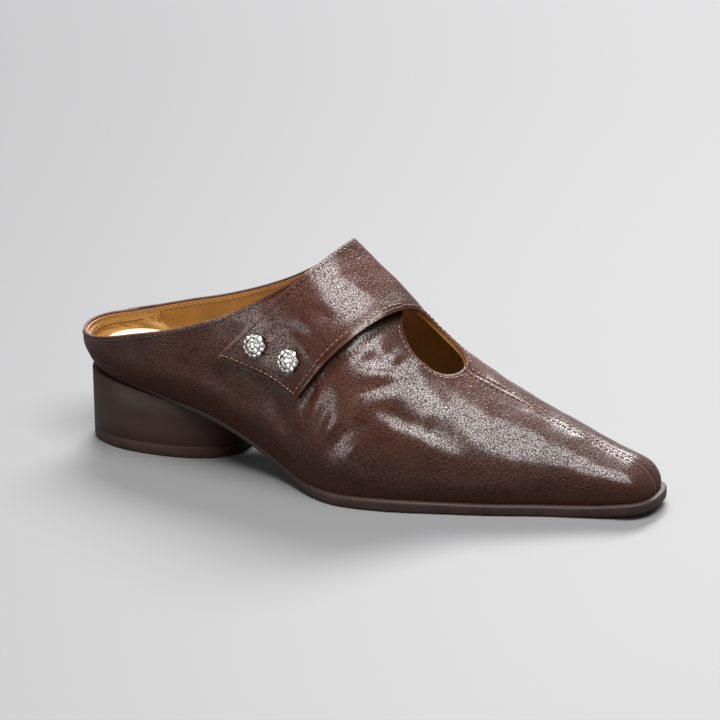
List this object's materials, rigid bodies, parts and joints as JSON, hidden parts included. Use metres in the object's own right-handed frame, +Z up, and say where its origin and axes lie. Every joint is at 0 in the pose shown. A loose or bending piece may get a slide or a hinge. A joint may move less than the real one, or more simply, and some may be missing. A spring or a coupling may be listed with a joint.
{
  "type": "mule shoe",
  "caption": "Backless leather shoe on a low block heel, with a long softly squared toe, a keyhole over the instep and a crossover strap set with round studs.",
  "frame": {"origin": "on the floor, under the middle of the whole shoe's bounding box", "axes": "+X from heel to toe, +Y towards the inner (big toe) side, +Z up"},
  "size_m": [0.2676, 0.0878, 0.0996],
  "materials": {
    "leather": "glossy",
    "lining": "matte",
    "thread": "matte",
    "sole": "satin",
    "heel": "satin",
    "top_lift": "matte",
    "sock": "satin",
    "stud": "polished",
    "crystal": "polished"
  },
  "bodies": {
    "root": {"outsole": "sole", "heel_block": "heel", "heel_top_lift": "top_lift", "insole": "sock", "upper": "leather", "strap": "leather", "stud_front": "stud", "stud_rear": "stud"}
  },
  "joints": []
}
